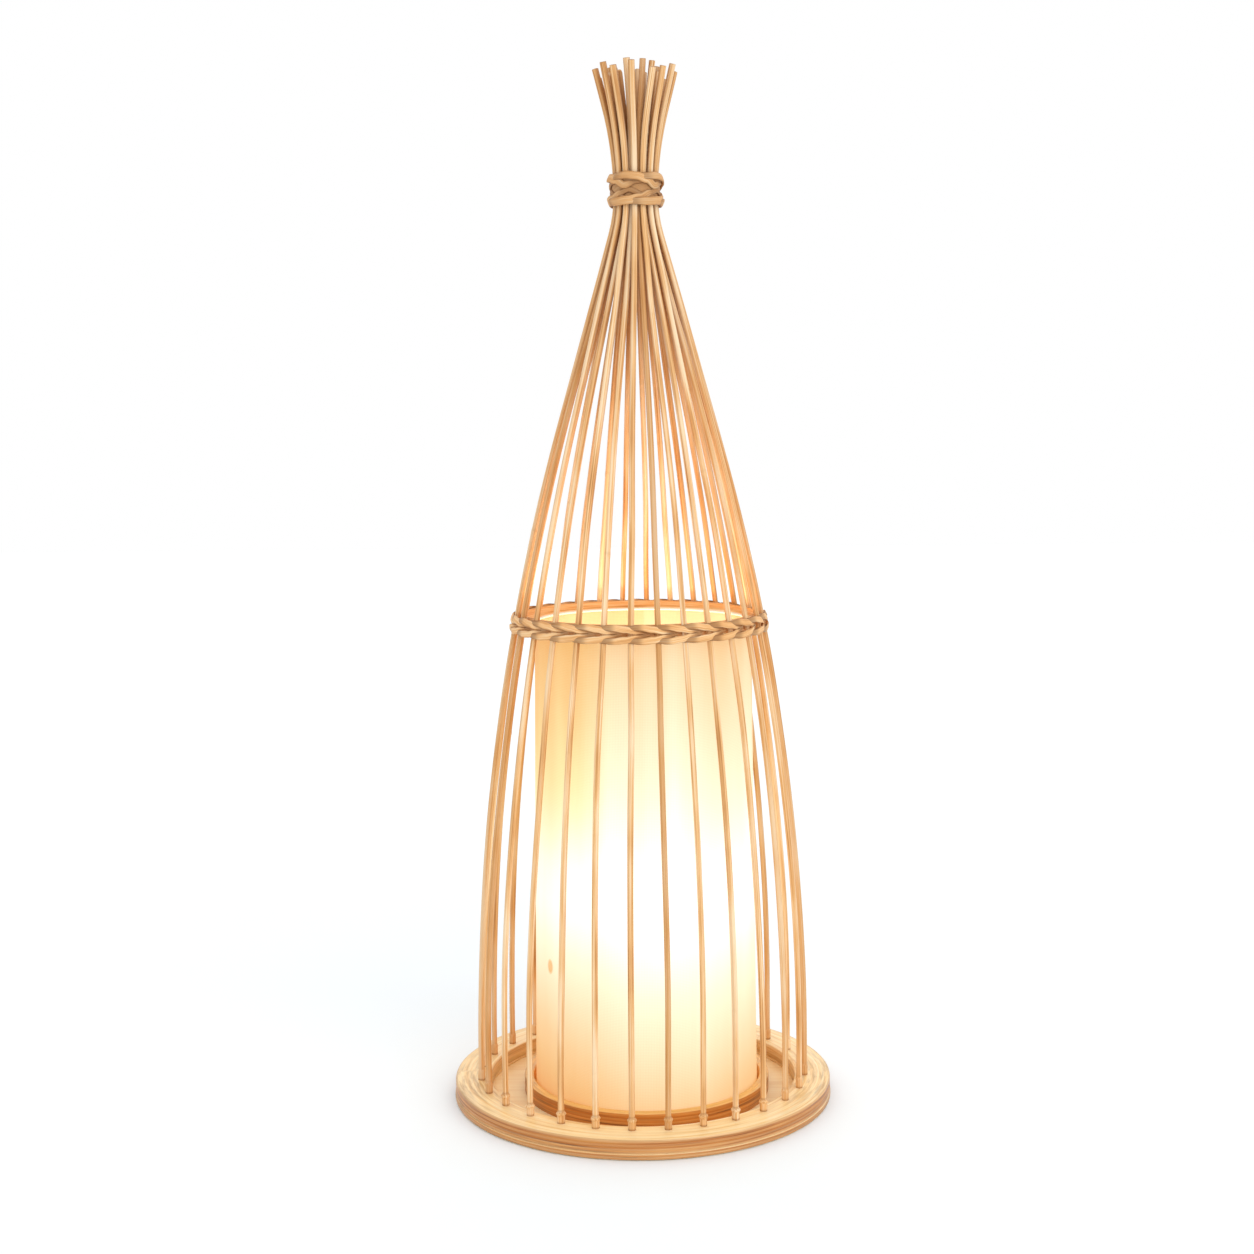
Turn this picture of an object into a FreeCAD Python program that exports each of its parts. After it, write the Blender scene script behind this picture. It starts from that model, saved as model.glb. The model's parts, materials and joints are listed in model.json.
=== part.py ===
"""Bamboo cage lamp: a round bamboo base, a glowing fabric shade and a cage of bent canes.

Frame: +Z up, origin on the floor under the centre of the base, -Y is the front.
Lengths are millimetres and angles are degrees.
"""
import FreeCAD, Part
import math
import os
import Sketcher

Vector = FreeCAD.Vector

# The driving dimensions: alias and value of each spreadsheet cell.
DIMENSIONS = [
    # base
    ("rim_radius", 150.5),
    ("rim_height", 4.4),
    ("rim_round", 1.4),
    ("rim_rebate_radius", 132.0),
    ("rim_ledge_gap", 0.1),
    ("ring_radius", 150.0),
    ("ring_bore_radius", 121.8),
    ("ring_height", 11.0),
    ("ring_edge_round", 1.0),
    ("board_radius", 131.6),
    ("board_thickness", 2.5),
    ("screw_circle_radius", 126.8),
    ("screw_radius", 1.5),
    ("screw_head_radius", 2.8),
    ("screw_head_height", 1.3),
    ("screw_length", 9.5),
    ("screw_hole_radius", 1.85),
    ("bush_bore_radius", 3.1),
    ("bush_radius", 4.2),
    ("bush_flange_radius", 4.9),
    ("bush_flange_depth", 0.5),
    # canes of the cage
    ("cane_radius", 2.2),
    ("cane_hole_radius", 2.25),
    ("cane_hole_depth", 10.1),
    ("cane_circle_radius", 129.6),
    ("cane_straight", 20.0),
    ("cane_belly_radius", 1820.0),
    ("cane_waist_radius", 107.5),
    ("waist_rise", 692.4),
    ("waist_outer_radius", 14.9),
    ("waist_inner_radius", 11.0),
    ("knuckle_radius", 3.1),
    ("knuckle_height", 8.0),
    ("tip_rise", 788.0),
    ("tip_spread", 4.0),
    ("tip_drop", 4.5),
    ("fan_outer_radius", 255.0),
    ("fan_outer_angle", 14.5),
    ("fan_outer_lean", 8.0),
    ("fan_inner_radius", 400.0),
    ("fan_inner_angle", 8.6),
    ("fan_inner_lean", 20.0),
    # woven bands
    ("mid_weave_rise", 357.9),
    ("mid_weave_row", 6.9),
    ("mid_weave_gap", 0.3),
    ("mid_weave_thickness", 1.5),
    ("mid_weave_play", 0.15),
    ("neck_weave_rise", 682.4),
    ("neck_weave_row", 12.8),
    ("neck_weave_gap", 0.3),
    ("neck_weave_bore_radius", 17.8),
    ("neck_weave_radius", 21.9),
    # light unit
    ("light_offset", 3.0),
    ("hoop_radius", 98.0),
    ("hoop_wall", 7.5),
    ("hoop_hole_radius", 4.0),
    ("shade_foot_radius", 89.5),
    ("shade_top_radius", 85.5),
    ("shade_rise", 366.5),
    ("shade_wall", 0.7),
    ("shade_wire_radius", 1.0),
    ("plate_radius", 30.0),
    ("plate_thickness", 2.0),
    ("plate_screw_circle", 21.0),
    ("tube_radius", 5.0),
    ("tube_bore_radius", 3.9),
    ("tube_length", 51.5),
    ("tube_hole_radius", 5.1),
    ("nut_corner_radius", 8.6),
    ("nut_height", 4.0),
    ("holder_radius", 20.0),
    ("holder_foot_radius", 13.0),
    ("holder_wall", 2.0),
    ("holder_cap_height", 14.0),
    ("holder_shell_height", 30.0),
    ("holder_seat", 48.0),
    ("insulator_height", 8.0),
    ("screw_shell_radius", 14.4),
    ("screw_shell_bore", 13.6),
    ("screw_shell_height", 20.0),
    # bulb
    ("bulb_seat", 72.8),
    ("bulb_tip_radius", 4.5),
    ("bulb_tip_height", 1.5),
    ("bulb_insulator_radius", 10.8),
    ("bulb_insulator_height", 3.7),
    ("bulb_cap_radius", 13.1),
    ("bulb_cap_wall", 0.4),
    ("bulb_cap_height", 20.0),
    ("bulb_globe_radius", 30.0),
    ("bulb_globe_height", 78.0),
    ("bulb_glass_wall", 1.0),
    ("bulb_neck_radius", 12.5),
    ("bulb_neck_height", 8.0),
    ("bulb_neck_depth", 2.0),
    ("bulb_shoulder_angle", 21.5),
    ("bulb_stem_radius", 8.5),
    ("bulb_stem_tip_radius", 2.2),
    ("bulb_stem_height", 34.0),
    ("filament_radius", 0.9),
    ("filament_length", 36.0),
    ("filament_circle", 8.0),
    ("filament_lean", 6.84),
]

CANES = 28
FIRST_CANE = -4.6       # bearing of the first cane, measured from the front towards +X
HAND_DRIFT = 2.1        # how far hand setting moves a cane from even spacing
DRIFT_PHASE = 8.0
INNER_LEAN_STEP = 0.45  # radians of the wave that leans each next cane another way
OUTER_LEAN_STEP = 0.9
TIP_STEP = 2.4
BOARD_SCREWS = 4
PLATE_SCREWS = 2
FILAMENTS = 4
FIRST_FILAMENT = 45.0

ALIASES = {alias for alias, value in DIMENSIONS}

BASE = "(rim_height + ring_height)"             # height of the base's top
LEAD = "rim_height + ring_height / 2"           # height of the lead's holes
BULB_FOOT = "bulb_seat + bulb_cap_height - bulb_neck_depth"     # where the glass ends in the cap

doc = FreeCAD.newDocument("bamboo_cage_lamp")
sheet = doc.addObject("Spreadsheet::Sheet", "dims")
for row, (alias, value) in enumerate(DIMENSIONS, start=1):
    sheet.set("A%d" % row, alias)
    sheet.set("B%d" % row, str(value))
    sheet.setAlias("B%d" % row, alias)
doc.recompute()

pieces = []


def size(alias):
    """The plain number in the sheet cell with this alias."""
    return float(getattr(sheet, alias))


base_top = size("rim_height") + size("ring_height")
lead_height = size("rim_height") + size("ring_height") / 2.0


def bind(item, **formulas):
    """Bind properties of an object to formulas over the sheet."""
    for name, formula in formulas.items():
        item.setExpression(name.replace("__", "."), words_to_cells(formula))


def words_to_cells(formula):
    """Put the sheet's name before every alias in a formula."""
    out = []
    word = ""
    for sign in formula + " ":
        if sign.isalnum() or sign == "_":
            word += sign
            continue
        out.append("dims." + word if word in ALIASES else word)
        out.append(sign)
        word = ""
    return "".join(out).strip()


def keep(item, label):
    """Name a finished piece and list it for export."""
    item.Label = label
    pieces.append(item)
    return item


def primitive(kind, name, at_z="0", **formulas):
    """A Part primitive with bound sizes, standing at a bound height."""
    item = doc.addObject("Part::" + kind, name)
    bind(item, Placement__Base__z=at_z, **formulas)
    return item


def cut(name, base, tool):
    item = doc.addObject("Part::Cut", name)
    item.Base = base
    item.Tool = tool
    return item


def fuse(name, items):
    item = doc.addObject("Part::MultiFuse", name)
    item.Shapes = items
    return item


def group(name, items):
    item = doc.addObject("Part::Compound", name)
    item.Links = items
    return item


def tube(name, outer, inner, at_z, height):
    """A straight ring: a cylinder less its bore, which runs past both ends."""
    body = primitive("Cylinder", name + "_body", at_z, Radius=outer, Height=height)
    bore = primitive("Cylinder", name + "_bore", at_z + " - 1", Radius=inner, Height=height + " + 2")
    return cut(name, body, bore)


def tapered_tube(name, outer, inner, at_z, height):
    """A ring with slanted walls. outer and inner are each (foot radius, top radius)."""
    body = primitive("Cone", name + "_body", at_z, Radius1=outer[0], Radius2=outer[1], Height=height)
    bore = primitive("Cone", name + "_bore", at_z, Radius1=inner[0], Radius2=inner[1], Height=height)
    return cut(name, body, bore)


def along_y(item, at_y, at_z):
    """Turn an upright primitive so that it points along +Y from a place on the back."""
    item.Placement = FreeCAD.Placement(Vector(), FreeCAD.Rotation(Vector(1, 0, 0), -90))
    bind(item, Placement__Base__y=at_y, Placement__Base__z=at_z)
    return item


def move_to_light(item):
    """Carry a finished piece of the light unit to the unit's own axis."""
    bind(item, Placement__Base__x="light_offset")
    return item


def plane(body, role):
    """The origin plane of a body with this role."""
    return [item for item in body.Origin.OriginFeatures if item.Role == role][0]


def new_sketch(body, name, role, offset=None):
    sketch = body.newObject("Sketcher::SketchObject", name)
    sketch.AttachmentSupport = [(plane(body, role), "")]
    sketch.MapMode = "FlatFace"
    if offset is not None:
        sketch.AttachmentOffset = offset
    return sketch


def bound_constraint(sketch, formula, *definition):
    """Add a dimension to a sketch and bind it to a formula over the sheet."""
    index = sketch.addConstraint(Sketcher.Constraint(*definition))
    sketch.setExpression("Constraints[%d]" % index, words_to_cells(formula))


def circle(sketch, x, y, radius, formula):
    """A circle in a sketch, with its radius bound to a formula."""
    index = sketch.addGeometry(Part.Circle(Vector(x, y, 0), Vector(0, 0, 1), radius), False)
    bound_constraint(sketch, formula, "Radius", index, radius)
    return index


# ---------------------------------------------------------------- the cage's canes


def bearing(number):
    """Bearing of a cane, from the front towards +X, with the drift of hand setting."""
    even = FIRST_CANE + number * 360.0 / CANES
    return even - HAND_DRIFT * math.sin(math.radians(2.0 * (even - DRIFT_PHASE)))


def around(number, radius):
    """The point at a cane's bearing and at this radius."""
    angle = math.radians(bearing(number))
    return radius * math.sin(angle), -radius * math.cos(angle)


def lean_angle(span, fall, bend):
    """Slope from upright of the line that is tangent to the belly arc and the waist arc.

    span is the height between the arcs' upright ends, fall the radius lost between
    them, and bend the sum of the two arcs' radii.
    """
    side = bend - fall
    return math.atan2(span, side) - math.acos(bend / math.hypot(side, span))


def arc_between(centre, start, end, radius):
    """The short arc round a centre from start to end."""
    middle = (start + end) * 0.5 - centre
    return Part.Arc(start, centre + middle * (radius / middle.Length), end)


def cane_spine(body, waist_r):
    """The centre line of a cane from its foot to the waist, in the radial plane."""
    foot_r = size("cane_circle_radius")
    belly = size("cane_belly_radius")
    waist = size("cane_waist_radius")
    low = base_top - size("cane_hole_depth")
    start = base_top + size("cane_straight")
    top = base_top + size("waist_rise")
    slope = lean_angle(top - start, foot_r - waist_r, belly + waist)
    across = 1.0 - math.cos(slope)
    up = math.sin(slope)
    points = [
        Vector(foot_r, low, 0),
        Vector(foot_r, start, 0),
        Vector(foot_r - belly * across, start + belly * up, 0),
        Vector(waist_r + waist * across, top - waist * up, 0),
        Vector(waist_r, top, 0),
    ]
    belly_centre = Vector(foot_r - belly, start, 0)
    waist_centre = Vector(waist_r + waist, top, 0)
    sketch = new_sketch(body, "spine", "XZ_Plane")
    sketch.addGeometry(Part.LineSegment(points[0], points[1]), False)
    sketch.addGeometry(arc_between(belly_centre, points[1], points[2], belly), False)
    sketch.addGeometry(Part.LineSegment(points[2], points[3]), False)
    sketch.addGeometry(arc_between(waist_centre, points[3], points[4], waist), False)
    return sketch


def fan_spine(body, waist_r, bend, spread, sideways, tip):
    """The centre line above the waist: an arc outwards and a straight end.

    The arc's plane is turned sideways about the cane's own upright line at the waist.
    """
    waist_top = base_top + size("waist_rise")
    offset = FreeCAD.Placement(
        Vector(waist_r, waist_top, 0), FreeCAD.Rotation(Vector(0, 1, 0), sideways)
    )
    sketch = new_sketch(body, "fan_spine", "XZ_Plane", offset)
    angle = math.radians(spread)
    bend_end = Vector(bend * (1.0 - math.cos(angle)), bend * math.sin(angle), 0)
    rest = base_top + tip - waist_top - bend_end.y
    end = bend_end + Vector(rest * math.tan(angle), rest, 0)
    sketch.addGeometry(arc_between(Vector(bend, 0, 0), Vector(), bend_end, bend), False)
    sketch.addGeometry(Part.LineSegment(bend_end, end), False)
    return sketch


def swept_cane(body, name, spine, radius_from_axis, height):
    """Sweep the cane's round section, standing at this place, along a spine."""
    offset = FreeCAD.Placement(Vector(0, 0, height), FreeCAD.Rotation())
    section = new_sketch(body, name + "_section", "XY_Plane", offset)
    circle(section, radius_from_axis, 0, size("cane_radius"), "cane_radius")
    pipe = body.newObject("PartDesign::AdditivePipe", name)
    pipe.Profile = section
    pipe.Spine = (spine, [])
    return pipe


def tip_height(number):
    """Height of a cane's free end above the base's top: uneven, and lower at the sides."""
    uneven = size("tip_spread") * math.sin(TIP_STEP * number)
    drop = size("tip_drop") * math.sin(math.radians(bearing(number))) ** 2
    return size("tip_rise") + uneven - drop


def make_cane(number):
    """One cane of the cage, from its hole in the ring to its free tip."""
    body = doc.addObject("PartDesign::Body", "cane_%02d" % (number + 1))
    inner = number % 2 == 1
    if inner:
        waist_r = size("waist_inner_radius")
        bend, spread = size("fan_inner_radius"), size("fan_inner_angle")
        sideways = size("fan_inner_lean") * math.sin(INNER_LEAN_STEP * number)
    else:
        waist_r = size("waist_outer_radius")
        bend, spread = size("fan_outer_radius"), size("fan_outer_angle")
        sideways = size("fan_outer_lean") * math.sin(OUTER_LEAN_STEP * number)
    tip = tip_height(number)
    foot_r = size("cane_circle_radius")
    spine = cane_spine(body, waist_r)
    swept_cane(body, "cane", spine, foot_r, base_top - size("cane_hole_depth"))
    fan = fan_spine(body, waist_r, bend, spread, sideways, tip)
    swept_cane(body, "fan", fan, waist_r, base_top + size("waist_rise"))
    offset = FreeCAD.Placement(Vector(0, 0, base_top), FreeCAD.Rotation())
    section = new_sketch(body, "knuckle_section", "XY_Plane", offset)
    circle(section, foot_r, 0, size("knuckle_radius"), "knuckle_radius")
    knuckle = body.newObject("PartDesign::Pad", "knuckle")
    knuckle.Profile = section
    bind(knuckle, Length="knuckle_height")
    turn = FreeCAD.Rotation(Vector(0, 0, 1), bearing(number) - 90.0)
    body.Placement = FreeCAD.Placement(Vector(), turn)
    keep(body, "cane_%02d" % (number + 1))


# ---------------------------------------------------------------- base


def pocket(body, sketch, name, length=None, reverse=False):
    """Cut a sketch out of a body, to a bound depth or through everything."""
    before = body.Shape.Volume
    feature = body.newObject("PartDesign::Pocket", name)
    feature.Profile = sketch
    feature.Reversed = reverse
    if length is None:
        feature.Type = "ThroughAll"
    else:
        bind(feature, Length=length)
    doc.recompute()
    if not body.Shape.Volume < before - 1.0:
        raise RuntimeError(name + " cuts nothing")
    return feature


def make_base_ring():
    """The upper ring of wound bamboo, with a blind hole for the foot of every cane."""
    body = doc.addObject("PartDesign::Body", "base_ring")
    bottom = FreeCAD.Placement(Vector(0, 0, size("rim_height")), FreeCAD.Rotation())
    outline = new_sketch(body, "outline", "XY_Plane", bottom)
    circle(outline, 0, 0, size("ring_radius"), "ring_radius")
    circle(outline, 0, 0, size("ring_bore_radius"), "ring_bore_radius")
    pad = body.newObject("PartDesign::Pad", "ring")
    pad.Profile = outline
    bind(pad, Length="ring_height")
    doc.recompute()
    top = FreeCAD.Placement(Vector(0, 0, base_top), FreeCAD.Rotation())
    holes = new_sketch(body, "cane_holes", "XY_Plane", top)
    for number in range(CANES):
        x, y = around(number, size("cane_circle_radius"))
        circle(holes, x, y, size("cane_hole_radius"), "cane_hole_radius")
    pocket(body, holes, "cane_hole_pocket", "cane_hole_depth")
    screws = new_sketch(body, "screw_holes", "XY_Plane", bottom)
    for x, y in screw_places():
        circle(screws, x, y, size("screw_hole_radius"), "screw_hole_radius")
    pocket(body, screws, "screw_pocket", "screw_length - rim_height", reverse=True)
    lead = new_sketch(body, "lead_hole", "XZ_Plane")
    circle(lead, 0, lead_height, size("bush_radius"), "bush_radius")
    pocket(body, lead, "lead_pocket")
    edges = [
        "Edge%d" % (index + 1)
        for index, edge in enumerate(body.Shape.Edges)
        if hasattr(edge.Curve, "Radius")
        and abs(edge.BoundBox.ZMin - base_top) < 0.01
        and abs(edge.BoundBox.ZMax - base_top) < 0.01
        and edge.Curve.Radius > size("ring_bore_radius") - 1.0
    ]
    cut_ring = body.Tip
    fillet = body.newObject("PartDesign::Fillet", "rounded_edges")
    fillet.Base = (cut_ring, edges)
    bind(fillet, Radius="ring_edge_round")
    doc.recompute()
    keep(body, "base_ring")


def screw_places():
    """Midway between two canes, every quarter of the way round."""
    step = CANES // BOARD_SCREWS
    reach = size("screw_circle_radius")
    return [around(step * (number + 0.5), reach) for number in range(BOARD_SCREWS)]


def make_base_rim():
    """The lower layer of the base, with a rebate underneath for the floor board."""
    body = tube("rim", "rim_radius", "ring_bore_radius", "0", "rim_height")
    rebate = primitive(
        "Cylinder", "rim_rebate", "-1", Radius="rim_rebate_radius",
        Height="board_thickness + rim_ledge_gap + 1",
    )
    holes = []
    for number, (x, y) in enumerate(screw_places()):
        hole = primitive(
            "Cylinder", "rim_screw_hole_%d" % (number + 1), "0",
            Radius="screw_hole_radius", Height="rim_height + 1",
        )
        hole.Placement.Base = Vector(x, y, 0)
        holes.append(hole)
    opened = cut("rim_opened", body, fuse("rim_cutters", [rebate] + holes))
    doc.recompute()
    low_edges = [
        index + 1
        for index, edge in enumerate(opened.Shape.Edges)
        if edge.BoundBox.ZMax < 0.01 and edge.BoundBox.XMax > size("rim_radius") - 0.01
    ]
    rounded = doc.addObject("Part::Fillet", "rim_rounded")
    rounded.Base = opened
    rounded.Edges = [(index, size("rim_round"), size("rim_round")) for index in low_edges]
    keep(rounded, "base_rim")


def make_floor_board():
    """The thin board that closes the base and carries the light unit."""
    disc = primitive("Cylinder", "board_disc", Radius="board_radius", Height="board_thickness")
    cutters = []
    for number, (x, y) in enumerate(screw_places()):
        head = primitive(
            "Cone", "board_screw_sink_%d" % (number + 1), Radius1="screw_head_radius",
            Radius2="screw_radius", Height="screw_head_height",
        )
        shank = primitive(
            "Cylinder", "board_screw_hole_%d" % (number + 1), Radius="screw_radius",
            Height="board_thickness + 1",
        )
        head.Placement.Base = Vector(x, y, 0)
        shank.Placement.Base = Vector(x, y, 0)
        cutters += [head, shank]
    keep(cut("board", disc, fuse("board_cutters", cutters)), "floor_board")


def make_board_screws():
    """Countersunk screws that hold the board up against the rim."""
    screws = []
    for number, (x, y) in enumerate(screw_places()):
        name = "board_screw_%d" % (number + 1)
        head = primitive(
            "Cone", name + "_head", Radius1="screw_head_radius", Radius2="screw_radius",
            Height="screw_head_height",
        )
        shank = primitive("Cylinder", name + "_shank", Radius="screw_radius", Height="screw_length - 1")
        screw = fuse(name, [head, shank])
        screw.Placement.Base = Vector(x, y, 0)
        screws.append(screw)
    keep(group("board_screw_group", screws), "board_screws")


def make_lead_bush():
    """The bush in the back of the ring, where a mains lead goes in."""
    sleeve = primitive(
        "Cylinder", "bush_sleeve", Radius="bush_radius",
        Height="ring_radius - ring_bore_radius - 0.4",
    )
    along_y(sleeve, "ring_bore_radius + 0.5", LEAD)
    flange = primitive(
        "Cone", "bush_flange", Radius1="bush_flange_radius", Radius2="bush_flange_radius - 0.4",
        Height="bush_flange_depth",
    )
    along_y(flange, "ring_radius", LEAD)
    bore = primitive(
        "Cylinder", "bush_bore", Radius="bush_bore_radius", Height="ring_radius - ring_bore_radius + 6",
    )
    along_y(bore, "ring_bore_radius - 2", LEAD)
    keep(cut("bush", fuse("bush_body", [sleeve, flange]), bore), "lead_bush")


# ---------------------------------------------------------------- woven bands


def cane_radius_at(rise):
    """Distance of the canes' centre lines from the axis on their belly arc."""
    belly = size("cane_belly_radius")
    climb = rise - size("cane_straight")
    return size("cane_circle_radius") - belly + math.sqrt(belly * belly - climb * climb)


def make_mid_weave():
    """Two rows of weaving outside the canes and the strokes of both rows inside them."""
    row_height = size("mid_weave_row")
    rise = size("mid_weave_rise")
    clear = size("cane_radius") + size("mid_weave_play")
    thick = size("mid_weave_thickness")
    for number, label in enumerate(("mid_weave_lower", "mid_weave_upper")):
        foot = rise + number * (row_height + size("mid_weave_gap"))
        low = cane_radius_at(foot) + clear
        high = cane_radius_at(foot + row_height) + clear
        weave = slanted_ring(label, low, high, thick, foot, row_height)
        keep(weave, label)
    both = 2.0 * row_height + size("mid_weave_gap")
    low = cane_radius_at(rise) - clear - thick
    high = cane_radius_at(rise + both) - clear - thick
    keep(slanted_ring("mid_weave_inside", low, high, thick, rise, both), "mid_weave_inside")


def slanted_ring(name, low, high, thick, rise, height):
    """A thin ring that follows the canes' slope. low and high are its inner radii."""
    body = new_cone(name + "_outside", low + thick, high + thick, base_top + rise, height)
    bore = new_cone(name + "_bore", low, high, base_top + rise, height)
    return cut(name, body, bore)


def new_cone(name, low, high, at_z, height):
    cone = doc.addObject("Part::Cone", name)
    cone.Radius1 = low
    cone.Radius2 = high
    cone.Height = height
    cone.Placement.Base = Vector(0, 0, at_z)
    return cone


def make_neck_weave():
    """Two thick rows of binding round the waist."""
    for number, label in enumerate(("neck_weave_lower", "neck_weave_upper")):
        at_z = BASE + " + neck_weave_rise + %d * (neck_weave_row + neck_weave_gap)" % number
        band = tube(label + "_tube", "neck_weave_radius", "neck_weave_bore_radius", at_z, "neck_weave_row")
        keep(band, label)


# ---------------------------------------------------------------- shade


def make_hoop():
    """The laminated hoop on the floor board that the shade stands in."""
    height = BASE + " - board_thickness"
    hoop = tube("hoop", "hoop_radius", "hoop_radius - hoop_wall", "board_thickness", height)
    hole = primitive("Cylinder", "hoop_lead_hole", Radius="hoop_hole_radius", Height="hoop_wall + 10")
    along_y(hole, "hoop_radius - hoop_wall - 5", LEAD)
    keep(move_to_light(cut("hoop_drilled", hoop, hole)), "shade_hoop")


def make_hoop_grommet():
    """The ring that guards the lead where it passes through the hoop."""
    outer = primitive("Cylinder", "grommet_body", Radius="hoop_hole_radius", Height="hoop_wall - 0.4")
    bore = primitive("Cylinder", "grommet_bore", Radius="hoop_hole_radius - 1", Height="hoop_wall + 4")
    along_y(outer, "hoop_radius - hoop_wall + 0.2", LEAD)
    along_y(bore, "hoop_radius - hoop_wall - 2", LEAD)
    keep(move_to_light(cut("grommet", outer, bore)), "hoop_grommet")


def make_shade():
    """The fabric cylinder, a little narrower at its top, and its two wires."""
    wall = tapered_tube(
        "shade",
        ("shade_foot_radius", "shade_top_radius"),
        ("shade_foot_radius - shade_wall", "shade_top_radius - shade_wall"),
        "board_thickness + 0.1",
        BASE + " + shade_rise - board_thickness - 0.1",
    )
    keep(move_to_light(wall), "shade")
    make_shade_wire("shade_foot_wire", "shade_foot_radius", "board_thickness + 4")
    make_shade_wire("shade_top_wire", "shade_top_radius", BASE + " + shade_rise - 1.5")


def make_shade_wire(label, shade_radius, at_z):
    """A wire ring lying just inside the fabric."""
    middle = shade_radius + " - shade_wall - shade_wire_radius - 0.2"
    wire = primitive("Torus", label + "_ring", at_z, Radius1=middle, Radius2="shade_wire_radius")
    keep(move_to_light(wire), label)


# ---------------------------------------------------------------- lampholder


def make_holder_plate():
    """The disc that fixes the lampholder's tube to the floor board."""
    disc = tube("plate", "plate_radius", "tube_hole_radius", "board_thickness", "plate_thickness")
    holes = []
    for number, (x, y) in enumerate(plate_screw_places()):
        hole = primitive(
            "Cylinder", "plate_hole_%d" % (number + 1), "board_thickness - 1",
            Radius="screw_radius", Height="plate_thickness + 2",
        )
        hole.Placement.Base = Vector(x, y, 0)
        holes.append(hole)
    keep(move_to_light(cut("plate_drilled", disc, fuse("plate_holes", holes))), "holder_plate")


def plate_screw_places():
    """Either side of the tube, left and right."""
    reach = size("plate_screw_circle")
    turn = 2.0 * math.pi / PLATE_SCREWS
    return [(reach * math.cos(turn * n), reach * math.sin(turn * n)) for n in range(PLATE_SCREWS)]


def make_plate_screws():
    """Round-headed screws through the plate, ending on the board."""
    screws = []
    for number, (x, y) in enumerate(plate_screw_places()):
        name = "plate_screw_%d" % (number + 1)
        top = "board_thickness + plate_thickness"
        head = primitive(
            "Cone", name + "_head", top, Radius1="screw_head_radius",
            Radius2="screw_head_radius - 1.2", Height="screw_head_height",
        )
        shank = primitive(
            "Cylinder", name + "_shank", "board_thickness", Radius="screw_radius",
            Height="plate_thickness + 0.5",
        )
        screw = fuse(name, [head, shank])
        screw.Placement.Base = Vector(x, y, 0)
        screws.append(screw)
    keep(move_to_light(group("plate_screw_group", screws)), "plate_screws")


def make_holder_tube():
    """The hollow threaded tube that carries the lampholder and leads the wires up."""
    pipe = tube("stem", "tube_radius", "tube_bore_radius", "board_thickness", "tube_length")
    keep(move_to_light(pipe), "holder_tube")


def make_tube_nuts():
    """One nut on the plate and one under the lampholder."""
    nuts = []
    seats = {
        "low_nut": "board_thickness + plate_thickness",
        "high_nut": "holder_seat - nut_height",
    }
    for name, at_z in seats.items():
        hexagon = primitive(
            "Prism", name + "_hexagon", at_z, Circumradius="nut_corner_radius", Height="nut_height",
        )
        hexagon.Polygon = 6
        bore = primitive("Cylinder", name + "_bore", at_z, Radius="tube_radius", Height="nut_height")
        nuts.append(cut(name, hexagon, bore))
    keep(move_to_light(group("tube_nut_group", nuts)), "tube_nuts")


def make_holder():
    """The lampholder: cap, shell, insulator, threaded sleeve and centre contact."""
    cap = tapered_tube(
        "cap", ("holder_foot_radius", "holder_radius"),
        ("holder_foot_radius - holder_wall", "holder_radius - holder_wall"),
        "holder_seat", "holder_cap_height",
    )
    floor = primitive(
        "Cylinder", "cap_floor", "holder_seat", Radius="holder_foot_radius - holder_wall / 2",
        Height="holder_wall",
    )
    hole = primitive(
        "Cylinder", "cap_hole", "holder_seat - 1", Radius="tube_radius", Height="holder_wall + 2",
    )
    keep(move_to_light(cut("cap_drilled", fuse("cap_body", [cap, floor]), hole)), "holder_cap")
    seat = "holder_seat + holder_cap_height"
    shell = tube("shell", "holder_radius", "holder_radius - holder_wall", seat, "holder_shell_height")
    keep(move_to_light(shell), "holder_shell")
    insulator = primitive(
        "Cylinder", "insulator", seat, Radius="holder_radius - holder_wall - 0.1",
        Height="insulator_height",
    )
    keep(move_to_light(insulator), "holder_insulator")
    sleeve_seat = seat + " + insulator_height"
    sleeve = tube("sleeve", "screw_shell_radius", "screw_shell_bore", sleeve_seat, "screw_shell_height")
    keep(move_to_light(sleeve), "screw_shell")
    contact = primitive(
        "Cylinder", "centre_spring", sleeve_seat, Radius="bulb_tip_radius - 1",
        Height="bulb_seat - holder_seat - holder_cap_height - insulator_height - 0.3",
    )
    keep(move_to_light(contact), "centre_contact")


# ---------------------------------------------------------------- bulb


def make_bulb_base():
    """The bulb's centre contact, its insulator and its screw cap."""
    contact = primitive(
        "Cylinder", "bulb_tip", "bulb_seat", Radius="bulb_tip_radius", Height="bulb_tip_height",
    )
    keep(move_to_light(contact), "bulb_contact")
    insulator = primitive(
        "Cone", "bulb_glass_ring", "bulb_seat + bulb_tip_height", Radius1="bulb_tip_radius + 1",
        Radius2="bulb_insulator_radius", Height="bulb_insulator_height",
    )
    keep(move_to_light(insulator), "bulb_insulator")
    cap_seat = "bulb_seat + bulb_tip_height + bulb_insulator_height + 0.05"
    bore = "bulb_cap_radius - bulb_cap_wall"
    cap = tube("bulb_sleeve", "bulb_cap_radius", bore, cap_seat, "bulb_cap_height")
    keep(move_to_light(cap), "bulb_cap")


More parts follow.
